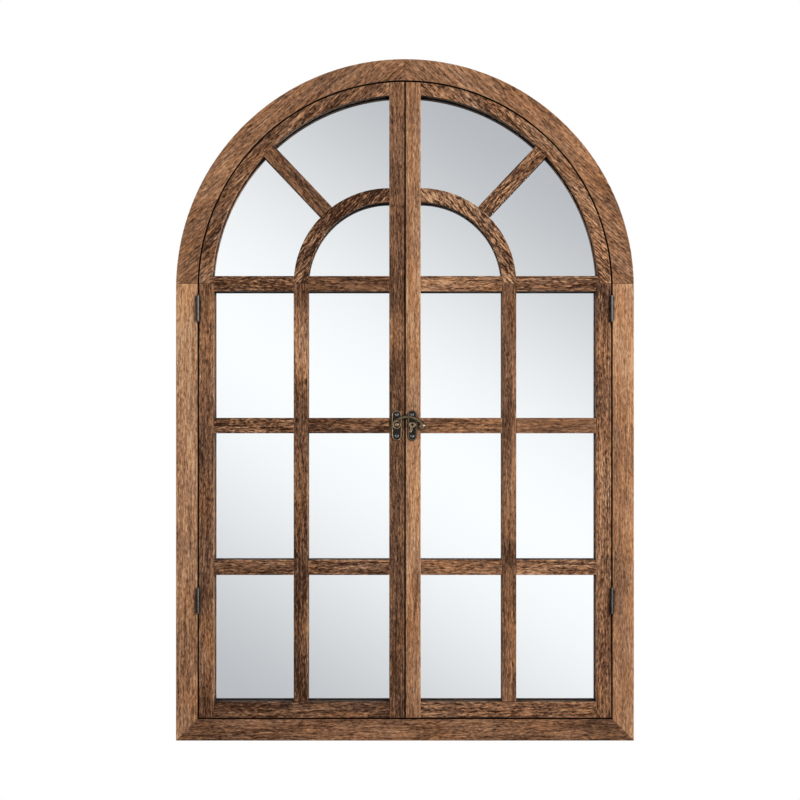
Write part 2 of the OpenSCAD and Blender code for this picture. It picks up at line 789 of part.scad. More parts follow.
at_right() hinge_stile();  // right_hinge_stile
at_right() right_meeting_stile();
at_right() arch_rail();  // right_arch_rail
at_right() bottom_rail();  // right_bottom_rail
at_right() upright_muntin();  // right_upright_muntin
at_right() outer_rail(rail_z[0]);  // right_lower_outer_rail
at_right() inner_rail(rail_z[0]);  // right_lower_inner_rail
at_right() outer_rail(rail_z[1]);  // right_middle_outer_rail
at_right() inner_rail(rail_z[1]);  // right_middle_inner_rail
at_right() outer_rail(rail_z[2]);  // right_spring_outer_rail
at_right() inner_rail(rail_z[2]);  // right_spring_inner_rail
at_right() small_arch();  // right_small_arch
at_right() spoke();  // right_spoke
at_right() door_dowel();  // right_door_dowel

at_left() at_upper_hinge() frame_leaf();  // left_upper_frame_leaf
at_left() at_lower_hinge() frame_leaf();  // left_lower_frame_leaf
at_right() at_upper_hinge() frame_leaf();  // right_upper_frame_leaf
at_right() at_lower_hinge() frame_leaf();  // right_lower_frame_leaf
at_left() at_upper_hinge() door_leaf();  // left_upper_door_leaf
at_left() at_lower_hinge() door_leaf();  // left_lower_door_leaf
at_right() at_upper_hinge() door_leaf();  // right_upper_door_leaf
at_right() at_lower_hinge() door_leaf();  // right_lower_door_leaf
at_both() at_hinges() hinge_pin();  // hinge_pins
at_both() at_hinges() leaf_screws();  // frame_leaf_screws
at_left() at_hinges() mirror([1, 0, 0]) leaf_screws();  // left_door_leaf_screws
at_right() at_hinges() mirror([1, 0, 0]) leaf_screws();  // right_door_leaf_screws

at_right() latch_plate();
at_right() plate_screws(-latch_x);  // latch_screws
at_right() latch_rivet();
at_right() latch_hook();
at_right() catch_plate();
at_right() plate_screws(catch_x);  // catch_screws
at_right() catch_post();
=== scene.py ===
"""Looks of an arched wall mirror behind a pair of hinged lattice doors.

Metres, +Z up. The fronts face -Y, the wall is the plane Y = 0, and X = 0 is the middle of the mirror.
"""
import math

import bpy
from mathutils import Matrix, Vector


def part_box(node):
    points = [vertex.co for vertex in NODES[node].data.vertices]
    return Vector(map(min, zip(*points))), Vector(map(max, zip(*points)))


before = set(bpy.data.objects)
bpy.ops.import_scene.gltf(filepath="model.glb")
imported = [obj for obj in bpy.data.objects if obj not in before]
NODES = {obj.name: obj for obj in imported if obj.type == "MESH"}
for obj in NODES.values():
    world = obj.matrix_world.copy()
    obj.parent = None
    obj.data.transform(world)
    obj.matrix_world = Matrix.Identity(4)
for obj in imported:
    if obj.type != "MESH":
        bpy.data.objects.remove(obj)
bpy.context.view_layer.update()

# Places that the frame gives
foot_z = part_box("frame_bottom_rail")[0].z
front_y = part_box("frame_bottom_rail")[0].y
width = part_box("frame_bottom_rail")[1].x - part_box("frame_bottom_rail")[0].x

# The photograph's frame: the image's side, the object's width in it, the point that the camera
# faces, and the row of the object's foot
IMAGE_PX = 800
WIDTH_PX = 458.0
AIM_PX = (405.0, 445.0)
FOOT_PX = 740.7
CAMERA_DISTANCE = 3.0
SENSOR_MM = 36.0

# The level, the place and the size of the lamp in front and of the one behind
KEY_LEVEL = 0.64
KEY_PLACE = (3.5, -3.0, 0.9)
KEY_SIZE = 1.3
BACK_LEVEL = 0.50
BACK_PLACE = (-2.6, 3.6, 1.6)
BACK_SIZE = 1.6
# The world's own soft light: the way to its brightest side, its levels from the far side to that one,
# and how far round, from 0 to 1, each level holds
AROUND_WAY = (0.55, -0.55, 0.60)
AROUND_LEVELS = (0.40, 0.44, 0.60)
AROUND_AT = (0.30, 0.55, 1.0)
# What mirror and metal show of the world. It is not the plain white background. In front
# are diagonal bands, fitted to the brightness of the photograph's panes: their tilt in degrees, their
# period over 2 pi in the parts of a unit direction, and their darkest and lightest colours
BAND_TILT = 58.7
BAND_WIDTH = 0.0516
BAND_COLOURS = ((0.468, 0.474, 0.498), (0.998, 0.998, 1.0))
# The Y of a unit direction where the bands start and where they are full
FRONT_RIM, FRONT_FULL = -0.83, -0.94
# The room elsewhere, by height: (position, colour) stops
ROOM_STOPS = [(0.48, (0.92, 0.92, 0.92)), (0.60, (0.74, 0.74, 0.75)), (0.85, (0.95, 0.95, 0.95))]
# Bright patches in place of the lamps, one towards the key lamp and a weaker one where no lamp stands:
# the way to that one, their levels, and the cosines where a patch starts and is full
GLOW_WAY = (-0.75, -0.60, 0.28)
KEY_GLINT, SIDE_GLINT = 30.0, 18.0
GLINT_RIM, GLINT_FULL = 0.935, 0.985
# The floor: its depth below the object, its radius and sides, its tone for the light that it gives back
# and as it is seen, its glow in the middle and how much that rises, and the shares of the radius where
# the rise starts and ends
FLOOR_DROP = 0.9
FLOOR_RADIUS = 5.0
FLOOR_SIDES = 96
FLOOR_TONES = (0.15, 0.80)
FLOOR_GLOW, FLOOR_GLOW_RISE = 0.14, 0.40
FLOOR_FADE = (0.2, 0.9)
WHITE = (1.0, 1.0, 1.0, 1.0)


def add(tree, kind, inputs=None, **settings):
    """A shader node with its settings, its inputs given as values or as outputs to link."""
    made = tree.nodes.new("ShaderNode" + kind)
    for name, value in settings.items():
        setattr(made, name, value)
    for name, value in (inputs or {}).items():
        if isinstance(value, bpy.types.NodeSocket):
            tree.links.new(value, made.inputs[name])
        else:
            made.inputs[name].default_value = value
    return made


def maths(tree, operation, a, b=0.0, clamp=False):
    return add(tree, "Math", {0: a, 1: b}, operation=operation, use_clamp=clamp).outputs[0]


def weighted(tree, start, *terms):
    """start plus the sum of each (value, weight) about its middle, 0.5."""
    total = start
    for value, weight in terms:
        centred = maths(tree, "SUBTRACT", value, 0.5)
        total = maths(tree, "ADD", total, maths(tree, "MULTIPLY", centred, weight))
    return total


def noise(tree, vector, per_metre, detail=2.0, roughness=0.5, distortion=0.0, seed=0.0):
    """Noise with its own number of features per metre along X, Y and Z."""
    scaled = add(tree, "VectorMath", {0: vector, 1: per_metre}, operation="MULTIPLY").outputs[0]
    settings = {"Vector": scaled, "W": seed, "Scale": 1.0, "Detail": detail, "Roughness": roughness,
                "Distortion": distortion}
    return add(tree, "TexNoise", settings, noise_dimensions="4D").outputs[0]


def ramp(tree, value, stops):
    """Colours along a value, from (position, colour) stops."""
    made = add(tree, "ValToRGB", {0: value})
    elements = made.color_ramp.elements
    while len(elements) < len(stops):
        elements.new(0.5)
    for element, (position, colour) in zip(elements, stops):
        element.position = position
        element.color = (*colour, 1.0)
    return made.outputs[0]


def between(tree, value, low, high):
    """0 below low, 1 above high and smooth between them."""
    settings = {"Value": value, "From Min": low, "From Max": high}
    return add(tree, "MapRange", settings, interpolation_type="SMOOTHSTEP").outputs[0]


def group(name, inputs, outputs):
    tree = bpy.data.node_groups.new(name, "ShaderNodeTree")
    for way, sockets in (("INPUT", inputs), ("OUTPUT", outputs)):
        for socket, kind in sockets:
            tree.interface.new_socket(name=socket, in_out=way, socket_type="NodeSocket" + kind)
    return tree, tree.nodes.new("NodeGroupInput").outputs, tree.nodes.new("NodeGroupOutput").inputs


def material(name):
    """An empty node material and its Principled shader."""
    made = bpy.data.materials.new(name)
    made.use_nodes = True
    return made, made.node_tree, made.node_tree.nodes["Principled BSDF"]


# Stained wood: the colours of its darkest pores, its body and its lightest fibres
WOOD_STOPS = [
    (0.00, (0.022, 0.009, 0.004)),
    (0.28, (0.103, 0.050, 0.028)),
    (0.50, (0.225, 0.112, 0.060)),
    (0.72, (0.400, 0.200, 0.101)),
    (1.00, (0.620, 0.380, 0.215)),
]
# Warmer and cooler tints that its patches take
HUE_STOPS = [(0.30, (0.94, 1.00, 1.10)), (0.70, (1.06, 0.99, 0.88))]
# Features per metre along the grain and across it, and for the rings along it and outwards
GRAIN = {
    "wander": (22.0, 45.0, 45.0),
    "rings": (4.0, 330.0, 1.0),
    "patches": (9.0, 30.0, 30.0),
    "hues": (14.0, 70.0, 70.0),
    "lines": (22.0, 560.0, 560.0),
    "strokes": (150.0, 620.0, 620.0),
    "dashes": (170.0, 640.0, 640.0),
}
# Levels of the dashes where pores and light flecks start and are full
PORES, FLECKS = (0.43, 0.34), (0.57, 0.66)
# The sizes of a normal's Y between which an arris lies, from its side and from its face, and the sizes
# of its Z where an edge starts to count as level and does so fully
ARRIS_SIDE, ARRIS_FACE = (0.25, 0.5), (0.99, 0.90)
# LEVEL_FACE places the painted shade that darkens level edges, tops and undersides alike
LEVEL_FACE = (0.45, 0.85)
# Painted shade in joints and recesses: how far off a neighbour darkens, the openness where that starts to
# ease and ends, and the share of the colour that is left at its darkest
RECESS_SHADE_REACH = 0.014
RECESS_SHADE_OPENNESS = (0.50, 0.92)
RECESS_SHADE_LEAST = 0.08


def timber_group():
    """Stained wood with its grain along X round a pith at the origin.

    Growth rings, lines, short strokes, pores and patches set its shade. Its arrises are worn lighter.
    Painted shade darkens it where a neighbouring face is near, in its joints and recesses, and on its level
    edges.
    """
    tree, given, result = group(
        "timber",
        [("Vector", "Vector"), ("Seed", "Float"), ("Tone", "Float"), ("Contrast", "Float"),
         ("Figure", "Float"), ("Edges", "Float")],
        [("Color", "Color"), ("Roughness", "Float"), ("Height", "Float")])
    vector, seed = given["Vector"], given["Seed"]
    wander = add(tree, "VectorMath", {0: vector, 1: GRAIN["wander"]}, operation="MULTIPLY").outputs[0]
    wander = add(tree, "TexNoise", {"Vector": wander, "W": seed, "Scale": 1.0, "Detail": 1.0},
                 noise_dimensions="4D").outputs[1]
    wander = add(tree, "VectorMath", {0: wander, 1: (0.5, 0.5, 0.5)}, operation="SUBTRACT").outputs[0]
    wander = add(tree, "VectorMath", {0: wander, "Scale": given["Figure"]}, operation="SCALE").outputs[0]
    bent = add(tree, "VectorMath", {0: vector, 1: wander}, operation="ADD").outputs[0]
    across = add(tree, "VectorMath", {0: bent, 1: (0.0, 1.0, 1.0)}, operation="MULTIPLY").outputs[0]
    radius = add(tree, "VectorMath", {0: across}, operation="LENGTH").outputs["Value"]
    along = add(tree, "SeparateXYZ", {0: bent}).outputs[0]
    ringed = add(tree, "CombineXYZ", {0: along, 1: radius}).outputs[0]
    rings = noise(tree, ringed, GRAIN["rings"], 2.0, 0.6, seed=seed)
    figured = maths(tree, "MULTIPLY", given["Figure"], 170.0)
    patches = noise(tree, vector, GRAIN["patches"], 2.0, seed=seed)
    hues = noise(tree, vector, GRAIN["hues"], 2.0, seed=maths(tree, "ADD", seed, 0.9))
    lines = noise(tree, bent, GRAIN["lines"], 2.0, 0.6, seed=seed)
    strokes = noise(tree, bent, GRAIN["strokes"], 2.0, 0.7, seed=seed)
    dashes = noise(tree, bent, GRAIN["dashes"], 1.0, 0.5, seed=maths(tree, "ADD", seed, 1.7))
    pores = between(tree, dashes, *PORES)
    flecks = between(tree, dashes, *FLECKS)
    grain = weighted(tree, 0.5, (rings, figured), (lines, 1.2), (strokes, 1.5))
    grain = maths(tree, "SUBTRACT", grain, maths(tree, "MULTIPLY", pores, 0.26))
    grain = maths(tree, "ADD", grain, maths(tree, "MULTIPLY", flecks, 0.18))
    shade = maths(tree, "MULTIPLY", maths(tree, "SUBTRACT", grain, 0.5), given["Contrast"])
    shade = weighted(tree, maths(tree, "ADD", shade, 0.5), (patches, 0.6))
    normal = add(tree, "SeparateXYZ", {0: add(tree, "TexCoord").outputs["Normal"]}).outputs
    facing = maths(tree, "ABSOLUTE", normal[1])
    arris = maths(tree, "MULTIPLY", between(tree, facing, *ARRIS_SIDE), between(tree, facing, *ARRIS_FACE))
    worn = maths(tree, "MULTIPLY", arris, weighted(tree, 0.22, (patches, 0.5)))
    shade = maths(tree, "ADD", maths(tree, "ADD", shade, worn), given["Tone"], clamp=True)
    # Painted shade: the wood darkens where a neighbouring face is near, in joints and recesses
    recess_shade = add(tree, "AmbientOcclusion", {"Distance": RECESS_SHADE_REACH}, samples=8).outputs["AO"]
    recess_shade = between(tree, recess_shade, *RECESS_SHADE_OPENNESS)
    recess_shade = maths(tree, "MULTIPLY", recess_shade, 1.0 - RECESS_SHADE_LEAST)
    recess_shade = maths(tree, "ADD", recess_shade, RECESS_SHADE_LEAST)
    tint = ramp(tree, hues, HUE_STOPS)
    paint = ramp(tree, shade, WOOD_STOPS)
    paint = add(tree, "VectorMath", {0: paint, 1: tint}, operation="MULTIPLY").outputs[0]
    # Painted shade: faces that lie level, tops and undersides alike, keep only a share of their colour
    level = between(tree, maths(tree, "ABSOLUTE", normal[2]), *LEVEL_FACE)
    level_shade = add(tree, "Mix", {0: level, 2: 1.0, 3: given["Edges"]}).outputs[0]
    darkened = maths(tree, "MULTIPLY", recess_shade, level_shade)
    paint = add(tree, "VectorMath", {0: paint, "Scale": darkened}, operation="SCALE")
    tree.links.new(paint.outputs[0], result["Color"])
    tree.links.new(weighted(tree, 0.70, (grain, -0.2), (patches, 0.2)), result["Roughness"])
    tree.links.new(weighted(tree, 0.5, (strokes, 0.8), (lines, 0.3), (pores, -0.6)), result["Height"])
    return tree


TIMBER = timber_group()
# Reach of a mark in depth, so long that the mark goes through its board
THROUGH = 1000.0


def mark(tree, space, shade, centre, reach, angle, strength):
    """Adds strength to a shade within a soft oval round (x, z), its reach along and across an angle."""
    place = {"Vector": space, "Location": (centre[0], 0.0, centre[1]),
             "Rotation": (0.0, math.radians(-angle), 0.0), "Scale": (reach[0], THROUGH, reach[1])}
    away = add(tree, "Mapping", place, vector_type="TEXTURE").outputs[0]
    away = add(tree, "VectorMath", {0: away}, operation="LENGTH").outputs["Value"]
    inside = between(tree, away, 1.0, 0.2)
    return maths(tree, "ADD", shade, maths(tree, "MULTIPLY", inside, strength))


def timber(name, pith, angle, lean, seed, tone, contrast, figure, edges, marks=()):
    """Wood whose grain lies at an angle above level, and leans towards the front along its pith."""
    made, tree, shader = material(name)
    space = add(tree, "TexCoord").outputs["Object"]
    turned = add(tree, "Mapping", {"Vector": space, "Location": pith,
                                   "Rotation": (0.0, math.radians(-angle), math.radians(lean))},
                 vector_type="TEXTURE").outputs[0]
    wood = tree.nodes.new("ShaderNodeGroup")
    wood.node_tree = TIMBER
    tree.links.new(turned, wood.inputs["Vector"])
    wood.inputs["Seed"].default_value = seed
    wood.inputs["Tone"].default_value = tone
    wood.inputs["Contrast"].default_value = contrast
    wood.inputs["Figure"].default_value = figure
    # The share of colour that painted shade leaves on level edges
    wood.inputs["Edges"].default_value = edges
    shade = tone
    for centre, reach, turn, strength in marks:
        shade = mark(tree, space, shade, centre, reach, turn, strength)
    if marks:
        tree.links.new(shade, wood.inputs["Tone"])
    bump = add(tree, "Bump", {"Height": wood.outputs["Height"], "Strength": 0.35, "Distance": 0.0003})
    tree.links.new(wood.outputs["Color"], shader.inputs["Base Color"])
    tree.links.new(wood.outputs["Roughness"], shader.inputs["Roughness"])
    tree.links.new(bump.outputs[0], shader.inputs["Normal"])
    shader.inputs["Specular IOR Level"].default_value = 0.06
    return made


# Each board: the angle of its grain, its tone from dark to light, its contrast and its figure
LEVEL, UPRIGHT = 0, 90
FRAME_WOOD = {
    "frame_arch_left": (40, 0.02, 0.84, 0.0015),
    "frame_arch_right": (-43, 0.01, 0.85, 0.0015),
    "frame_stile_left": (UPRIGHT, 0.14, 0.83, 0.0015),
    "frame_stile_right": (UPRIGHT, 0.14, 0.67, 0.0015),
    "frame_bottom_rail": (LEVEL, -0.12, 0.83, 0.003),
}
# Each piece of a door: the angle of its grain in the left one, its figure, and then the tone and the
# contrast in the left door and in the right one
DOOR_WOOD = {
    "hinge_stile": (UPRIGHT, 0.004, (-0.13, 0.92), (-0.07, 1.05)),
    "meeting_stile": (UPRIGHT, 0.0015, (-0.16, 0.84), (0.16, 0.74)),
    "arch_rail": (43, 0.003, (-0.10, 1.22), (-0.06, 1.50)),
    "bottom_rail": (LEVEL, 0.004, (-0.29, 1.05), (-0.08, 1.26)),
    "upright_muntin": (UPRIGHT, 0.003, (-0.15, 0.97), (-0.09, 0.71)),
    "lower_outer_rail": (LEVEL, 0.004, (-0.12, 1.15), (-0.06, 1.22)),
    "lower_inner_rail": (LEVEL, 0.004, (-0.14, 1.29), (0.04, 0.97)),
    "middle_outer_rail": (LEVEL, 0.004, (-0.21, 1.64), (-0.04, 0.62)),
    "middle_inner_rail": (LEVEL, 0.004, (-0.19, 1.03), (-0.12, 0.91)),
    "spring_outer_rail": (LEVEL, 0.004, (-0.23, 1.42), (-0.15, 1.21)),
    "spring_inner_rail": (LEVEL, 0.004, (-0.16, 0.87), (0.09, 1.19)),
    "small_arch": (50, 0.003, (-0.34, 1.73), (0.02, 1.93)),
    "spoke": (-48, 0.0015, (-0.08, 0.99), (-0.13, 1.74)),
}
# Marks on a board: the middle (x, z) of each, its reach along and across, its angle, and how much
# lighter it makes the wood
MARKS = {
    "frame_arch_left": [
        ((-0.252, 0.184), (0.026, 0.0009), 36, -0.30), ((-0.246, 0.170), (0.022, 0.012), 40, 0.12)],
    "frame_stile_left": [
        ((-0.291, 0.01), (0.16, 0.03), 90, 0.16), ((-0.291, -0.37), (0.12, 0.03), 90, -0.09),
        ((-0.285, -0.47), (0.05, 0.006), 68, -0.10), ((-0.281, -0.30), (0.30, 0.0012), 90, 0.16)],
    "frame_stile_right": [((0.291, 0.01), (0.20, 0.03), 90, 0.15), ((0.284, -0.36), (0.20, 0.02), 90, -0.12)],
    "frame_bottom_rail": [
        ((-0.265, -0.545), (0.045, 0.03), 0, -0.12), ((0.265, -0.545), (0.045, 0.03), 0, -0.12)],
    "left_hinge_stile": [
        ((-0.265, -0.03), (0.07, 0.02), 90, 0.13), ((-0.271, -0.27), (0.10, 0.010), 90, 0.14),
        ((-0.260, -0.365), (0.02, 0.010), 90, -0.22), ((-0.265, -0.44), (0.06, 0.02), 90, 0.06),
        ((-0.265, -0.535), (0.055, 0.03), 90, -0.20)],
    "right_hinge_stile": [
        ((0.262, 0.035), (0.05, 0.02), 90, -0.18), ((0.271, -0.048), (0.05, 0.010), 90, 0.18),
        ((0.262, -0.21), (0.09, 0.010), 90, 0.18), ((0.271, -0.30), (0.08, 0.010), 90, -0.14)],
    "left_upright_muntin": [
        ((-0.139, -0.03), (0.08, 0.02), 90, 0.38), ((-0.139, -0.21), (0.08, 0.02), 90, 0.14),
        ((-0.139, -0.34), (0.07, 0.02), 90, -0.18), ((-0.139, -0.47), (0.07, 0.02), 90, -0.12)],
    "right_upright_muntin": [
        ((0.132, -0.2), (0.30, 0.004), 90, -0.10), ((0.145, -0.15), (0.20, 0.005), 90, 0.12),
        ((0.139, -0.31), (0.03, 0.02), 90, -0.20), ((0.144, -0.43), (0.07, 0.010), 90, 0.16)],
    "left_meeting_stile": [((-0.011, -0.01), (0.05, 0.02), 90, 0.22)],
    "right_meeting_stile": [
        ((0.011, -0.21), (0.09, 0.02), 90, 0.13), ((0.015, -0.35), (0.06, 0.010), 90, -0.24)],
}
# The share of its colour that painted shade leaves on a level edge, its top or underside, on the frame's
# boards and on the doors'
FRAME_LEVEL_SHADE, DOOR_LEVEL_SHADE = 0.75, 0.20
# How the boards were cut, taken in turn: the way from a board's middle across to its pith and back to
# it, and the lean of its grain in degrees. Each board takes the next piece of the pattern
PITH_ACROSS = (0.020, -0.035, 0.050, -0.012, 0.031)
PITH_BEHIND, PITH_STEP = 0.030, 0.008
LEANS = (2.0, -1.4, 1.1, -2.3)
SEED_STEP = 3.7
DOWELS = ("frame_dowels", "left_door_dowel", "right_door_dowel")
DOWEL_PITH = (0.0, 0.03, 0.0)
DOWEL_SEED, DOWEL_TONE, DOWEL_CONTRAST, DOWEL_FIGURE = 200.0, 0.35, 0.6, 0.002

# Rounding: its width on wood and on metal, its segments, the angle that counts as sharp, the distance
# within which points are joined first, and the weight of large faces in the shading
WOOD_EDGE = 0.0008
METAL_EDGE = 0.00015
EDGE_SEGMENTS = 2
SHARP_ANGLE = math.radians(35)
WELD_REACH = 1e-6
FACE_WEIGHT = 50

# Sizes of the latch that its finish follows: the height of a plate's rim, the radius of the hollow in
# the hook's eye and the width of the eye's rim, the radii over which the painted highlight on the tab's
# bead ends, the catch post's height and hole, and the way from the rivet to the bead
PLATE_RIM = 0.0005
EYE_HOLLOW = 0.0044
EYE_RIM = 0.0009
BEAD_RIM = (0.0014, 0.0018)
POST_HEIGHT = 0.0066
POST_HOLE = 0.0036
BEAD_PLACE = (0.0365, 0.0, -0.0010)
# How softly that finish changes: over a step in depth, at the eye, and outside the post's hole. Then
# how far in front of its tongue the post counts as raised
STEP_BLUR = 0.0001
EYE_BLUR = 0.0002
HOLE_BLUR = 0.0004
TONGUE_CLEAR = 0.0006
# Worn shine, from 0 to 1: on the hook's arm, and more on its eye's rim; a painted highlight on its bead;
# on the post, and less in its hole and on its tongue
ARM_SHINE, RIM_SHINE, BEAD_HIGHLIGHT = 0.24, 0.25, 0.7
POST_SHINE, HOLE_DARK, TONGUE_DARK = 0.9, 1.2, 0.35
# Worn metal edges: their reach, and the cosines where wear starts and is full
WEAR_REACH = 0.0006
WEAR_FACING = (0.995, 0.90)


def soften(node, edge):
    """Rounds the sharp edges of a CAD node, and leaves its faces where they are."""
    thing = NODES[node]
    weld = thing.modifiers.new("weld", "WELD")
    weld.merge_threshold = WELD_REACH
    bevel = thing.modifiers.new("edges", "BEVEL")
    bevel.width = edge
    bevel.segments = EDGE_SEGMENTS
    bevel.limit_method = "ANGLE"
    bevel.angle_limit = SHARP_ANGLE
    bevel.use_clamp_overlap = False
    normals = thing.modifiers.new("shading", "WEIGHTED_NORMAL")
    normals.keep_sharp = False
    normals.weight = FACE_WEIGHT


def dress(node, finish):
    slots = NODES[node].material_slots
    if len(slots) == 0:
        NODES[node].data.materials.append(finish)
    for slot in slots:
        slot.material = finish


def dress_wood():
    boards = dict(FRAME_WOOD)
    for piece, (angle, figure, *sides) in DOOR_WOOD.items():
        for side, (tone, contrast), turn in zip(("left", "right"), sides, (1, -1)):
            tilted = turn * angle if angle not in (LEVEL, UPRIGHT) else angle
            boards[f"{side}_{piece}"] = (tilted, tone, contrast, figure)
    for i, (node, (angle, tone, contrast, figure)) in enumerate(boards.items()):
        low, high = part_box(node)
        middle = (low + high) / 2
        out = PITH_ACROSS[i % len(PITH_ACROSS)]
        cut = i % len(LEANS)
        across = Vector((-math.sin(math.radians(angle)), 0.0, math.cos(math.radians(angle))))
        pith = middle + out * across + Vector((0.0, PITH_BEHIND + PITH_STEP * cut, 0.0))
        # The share of colour that painted shade leaves on level edges
        edges = FRAME_LEVEL_SHADE if node in FRAME_WOOD else DOOR_LEVEL_SHADE
        finish = timber("wood_" + node, pith, angle, LEANS[cut], SEED_STEP * i, tone, contrast, figure,
                        edges, MARKS.get(node, ()))
        dress(node, finish)
        soften(node, WOOD_EDGE)
    bare = timber("wood_dowel", DOWEL_PITH, UPRIGHT, 0.0, DOWEL_SEED, DOWEL_TONE, DOWEL_CONTRAST,
                  DOWEL_FIGURE, 1.0)
    for node in DOWELS:
        dress(node, bare)


def edge_mask(tree, radius):
    """1 at worn edges and 0 on flat faces."""
    rounded = add(tree, "Bevel", {"Radius": radius}, samples=6).outputs[0]
    true = add(tree, "NewGeometry").outputs["Normal"]
    facing = add(tree, "VectorMath", {0: rounded, 1: true}, operation="DOT_PRODUCT").outputs["Value"]
    return between(tree, facing, *WEAR_FACING)


def antique_metal(name, colours, wear, rough, per_metre=900.0, relief=None, coat=0.15):
    """A patinated metal, bright where hands and edges have worn it and dark elsewhere.

    Its colours run from its hollows to its brightest wear. relief, made from the tree and the place on
    the metal, is 0 in its hollows and 1 on its worn faces. On the hook it also holds a painted highlight
    on the bead.
    """
    made, tree, shader = material(name)
    space = add(tree, "TexCoord").outputs["Object"]
    cloud = noise(tree, space, (per_metre, per_metre, per_metre), 3.0, 0.6)
    fine = noise(tree, space, (5 * per_metre, 5 * per_metre, 5 * per_metre), 2.0)
    wear_and_highlight = maths(tree, "MULTIPLY", edge_mask(tree, WEAR_REACH), wear)
    # relief may also hold a painted highlight, as on the hook's bead
    if relief:
        wear_and_highlight = maths(tree, "MAXIMUM", relief(tree, space), wear_and_highlight)
    shine = weighted(tree, wear_and_highlight, (cloud, 0.7), (fine, 0.3))
    stops = [(i / (len(colours) - 1), colour) for i, colour in enumerate(colours)]
    tree.links.new(ramp(tree, shine, stops), shader.inputs["Base Color"])
    tree.links.new(weighted(tree, rough, (cloud, 0.3), (fine, 0.15)), shader.inputs["Roughness"])
    bump = add(tree, "Bump", {"Height": fine, "Strength": 0.25, "Distance": 0.0002})
    tree.links.new(bump.outputs[0], shader.inputs["Normal"])
    shader.inputs["Metallic"].default_value = 1.0
    shader.inputs["Coat Weight"].default_value = coat
    shader.inputs["Coat Roughness"].default_value = 0.14
    return made


def raised(level):
    """Relief of the faces that stand out in front of a depth."""
    def relief(tree, space):
        depth = add(tree, "SeparateXYZ", {0: space}).outputs[1]
        return between(tree, depth, level + STEP_BLUR, level - STEP_BLUR)
    return relief


def disc(tree, space, centre, inner, outer):
    """1 within a distance of an axis that points to the front, and 0 beyond it."""
    away = add(tree, "VectorMath", {0: space, 1: centre}, operation="SUBTRACT").outputs[0]
    away = add(tree, "VectorMath", {0: away, 1: (1.0, 0.0, 1.0)}, operation="MULTIPLY").outputs[0]
    away = add(tree, "VectorMath", {0: away}, operation="LENGTH").outputs["Value"]
    return between(tree, away, outer, inner)


HINGES = ("left_upper", "left_lower", "right_upper", "right_lower")
BRONZE = [f"{place}_{leaf}_leaf" for place in HINGES for leaf in ("frame", "door")]
BRONZE += ["hinge_pins", "frame_leaf_screws", "left_door_leaf_screws", "right_door_leaf_screws"]
ZINC = ("back_panel_screws", "keyhole_plate_left", "keyhole_plate_right", "keyhole_plate_screws")


def dress_metal():
    plate_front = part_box("latch_plate")[0].y
    rivet = (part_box("latch_rivet")[0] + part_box("latch_rivet")[1]) / 2
    post = (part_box("catch_post")[0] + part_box("catch_post")[1]) / 2
    post.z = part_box("catch_post")[1].z - POST_HEIGHT / 2
    tongue_y = plate_front + PLATE_RIM
    bead = rivet + Vector(BEAD_PLACE)

    def hook_relief(tree, space):
        hollow = disc(tree, space, rivet, EYE_HOLLOW - EYE_BLUR, EYE_HOLLOW)
        eye = disc(tree, space, rivet, EYE_HOLLOW + EYE_RIM, EYE_HOLLOW + EYE_RIM + EYE_BLUR)
        ring = maths(tree, "SUBTRACT", eye, hollow)
        level = maths(tree, "ADD", maths(tree, "MULTIPLY", ring, RIM_SHINE), ARM_SHINE)
        level = maths(tree, "SUBTRACT", level, hollow)
        # A painted highlight: a bright disc on the bead of the tab
        bead_glint = disc(tree, space, bead, *BEAD_RIM)
        return maths(tree, "ADD", level, maths(tree, "MULTIPLY", bead_glint, BEAD_HIGHLIGHT))

    def post_relief(tree, space):
        hole = disc(tree, space, post, POST_HOLE / 2, POST_HOLE / 2 + HOLE_BLUR)
        low = maths(tree, "SUBTRACT", 1.0, raised(tongue_y - TONGUE_CLEAR)(tree, space))
        level = maths(tree, "SUBTRACT", POST_SHINE, maths(tree, "MULTIPLY", hole, HOLE_DARK))
        return maths(tree, "SUBTRACT", level, maths(tree, "MULTIPLY", low, TONGUE_DARK))

    black, khaki = (0.012, 0.010, 0.009), (0.165, 0.120, 0.068)
    dark_rim = (0.075, 0.055, 0.038)
    rim = raised(plate_front + PLATE_RIM / 2)
    bronze = antique_metal("antique_bronze", [(0.018, 0.017, 0.017), (0.145, 0.125, 0.10)], 0.5, 0.30)
    screws = antique_metal("black_bronze", [(0.012, 0.011, 0.012), (0.09, 0.075, 0.06)], 0.5, 0.26, coat=0.9)
    left_plate = antique_metal("rimmed_bronze", [black, khaki], 0.3, 0.40, relief=rim)
    right_plate = antique_metal("black_rimmed_bronze", [black, dark_rim], 0.9, 0.36, relief=rim)
    hook_colours = [(0.010, 0.008, 0.006), khaki, (0.40, 0.33, 0.24)]
    hook = antique_metal("hook_bronze", hook_colours, 0.45, 0.42, relief=hook_relief)
    post_colours = [(0.020, 0.010, 0.006), (0.25, 0.17, 0.105)]
    brass = antique_metal("aged_brass", post_colours, 0.9, 0.34, relief=post_relief)
    rivet_brass = antique_metal("rivet_brass", [(0.09, 0.055, 0.03), (0.34, 0.235, 0.15)], 0.6, 0.45)
    zinc = antique_metal("zinc_plate", [(0.42, 0.42, 0.41), (0.78, 0.78, 0.76)], 0.3, 0.34, 300.0)
    for nodes, finish in ((BRONZE, bronze), (("latch_plate",), left_plate), (("catch_plate",), right_plate),
                          (("latch_hook",), hook), (("latch_screws", "catch_screws"), screws),
                          (("latch_rivet",), rivet_brass), (("catch_post",), brass), (ZINC, zinc)):
        for node in nodes:
            dress(node, finish)
            soften(node, METAL_EDGE)


